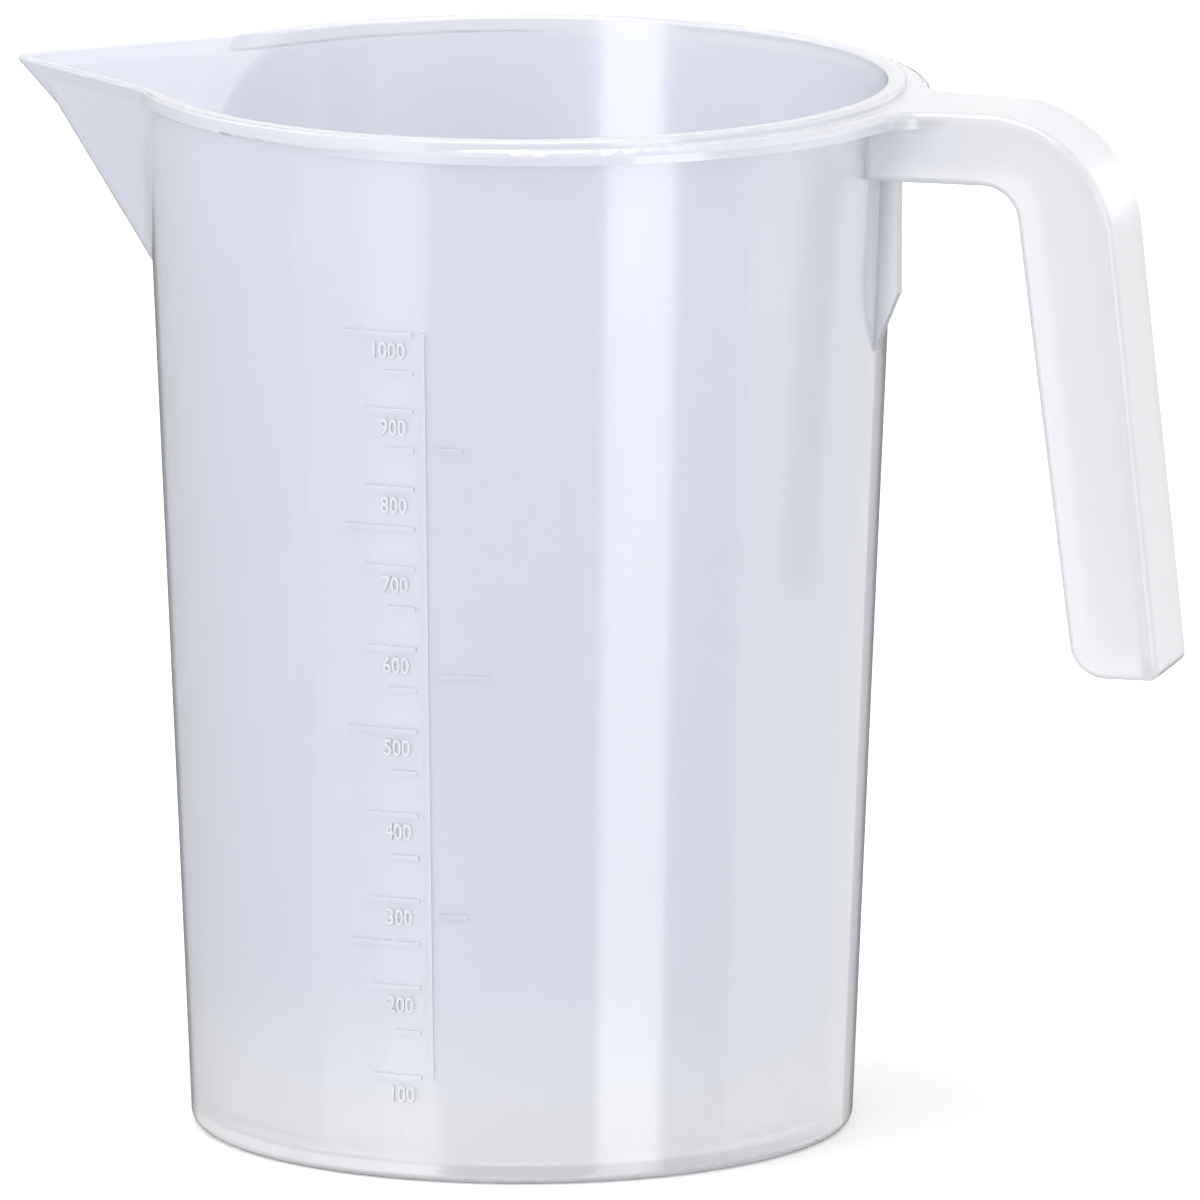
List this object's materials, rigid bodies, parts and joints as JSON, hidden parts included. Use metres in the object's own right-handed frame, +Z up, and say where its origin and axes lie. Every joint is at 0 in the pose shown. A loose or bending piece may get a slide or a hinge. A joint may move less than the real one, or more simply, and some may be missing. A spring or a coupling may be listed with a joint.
{
  "type": "measuring jug",
  "caption": "Translucent plastic measuring jug with a V-shaped spout, an open hook handle and a raised scale on its side.",
  "frame": {"origin": "centre of the flat base, on the axis of the round vessel", "axes": "+Z up along the axis of the vessel, +X from the spout towards the handle, the scale faces -Y"},
  "size_m": [0.1767, 0.1142, 0.157],
  "materials": {
    "jug_plastic": "smooth translucent, milky white with a faint blue cast"
  },
  "bodies": {
    "root": {"jug": "jug_plastic"}
  },
  "joints": []
}
